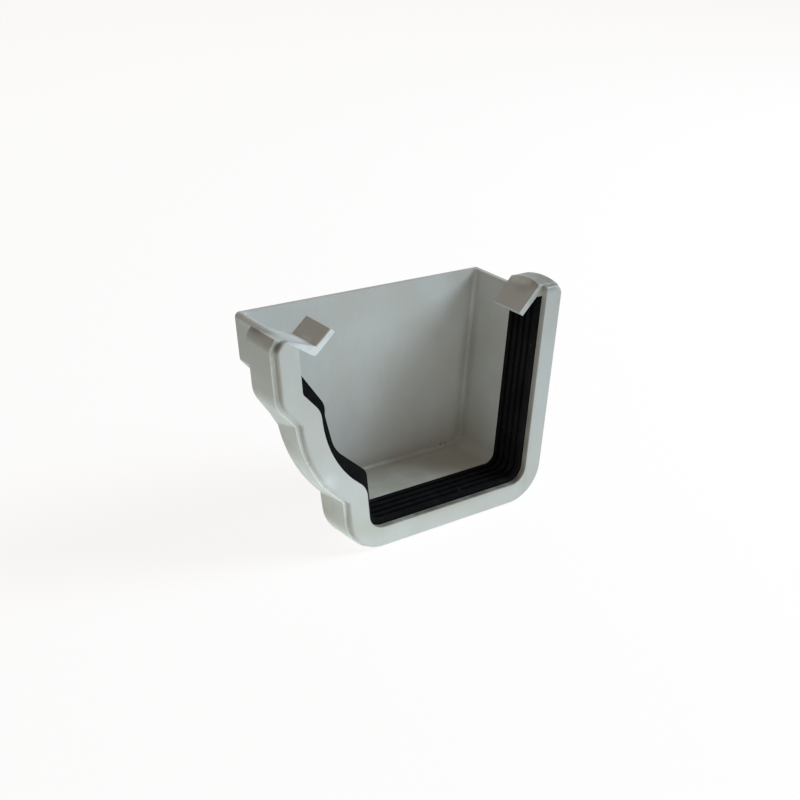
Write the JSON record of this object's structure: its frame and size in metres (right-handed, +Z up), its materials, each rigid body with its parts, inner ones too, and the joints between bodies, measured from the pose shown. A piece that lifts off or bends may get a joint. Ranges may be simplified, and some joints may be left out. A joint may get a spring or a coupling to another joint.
{
  "type": "gutter end cap",
  "caption": "Ogee gutter stop end: an open-topped socket with a rubber seal behind its rim, snap clips over the gutter's edges and a flat end wall.",
  "frame": {"origin": "middle of the bounding box's underside, below the bottom of the collar", "axes": "+X across the gutter towards the fascia board, +Y along the gutter towards the end wall, +Z up"},
  "size_m": [0.1292, 0.0396, 0.091],
  "materials": {
    "grey_plastic": "moulded uPVC, satin, slightly marked",
    "black_rubber": "ribbed black seal, matte"
  },
  "bodies": {
    "root": {"end_cap": "grey_plastic", "rubber_seal": "black_rubber"}
  },
  "joints": []
}
